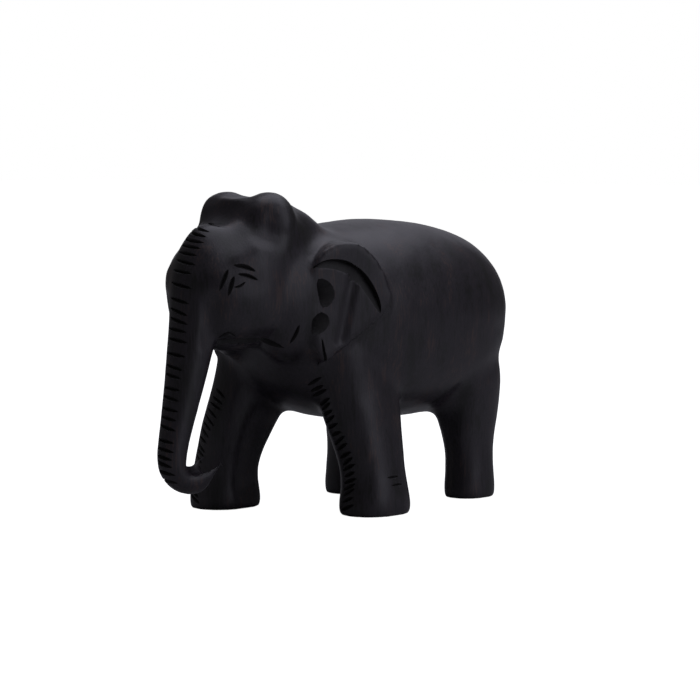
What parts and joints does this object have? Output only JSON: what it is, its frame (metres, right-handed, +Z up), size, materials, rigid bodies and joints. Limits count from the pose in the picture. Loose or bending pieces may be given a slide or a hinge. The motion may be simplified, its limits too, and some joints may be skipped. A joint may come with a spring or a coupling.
{
  "type": "carved elephant figurine",
  "caption": "Standing elephant figurine carved from one block of dark hardwood, with a curled trunk, relief ears and notched trunk and legs.",
  "frame": {"origin": "middle of the bounding box on the surface that the feet stand on", "axes": "+Z up, the elephant faces -Y, its left side is +X"},
  "size_m": [0.0656, 0.1433, 0.098],
  "materials": {
    "ebony": "satin, hand carved and waxed"
  },
  "bodies": {
    "root": {"torso": "ebony", "head": "ebony", "lower_jaw": "ebony", "trunk_upper": "ebony", "trunk_lower": "ebony", "trunk_tip": "ebony", "ear_left": "ebony", "ear_right": "ebony", "leg_fore_left": "ebony", "leg_fore_right": "ebony", "leg_hind_left": "ebony", "leg_hind_right": "ebony", "tail": "ebony"}
  },
  "joints": []
}
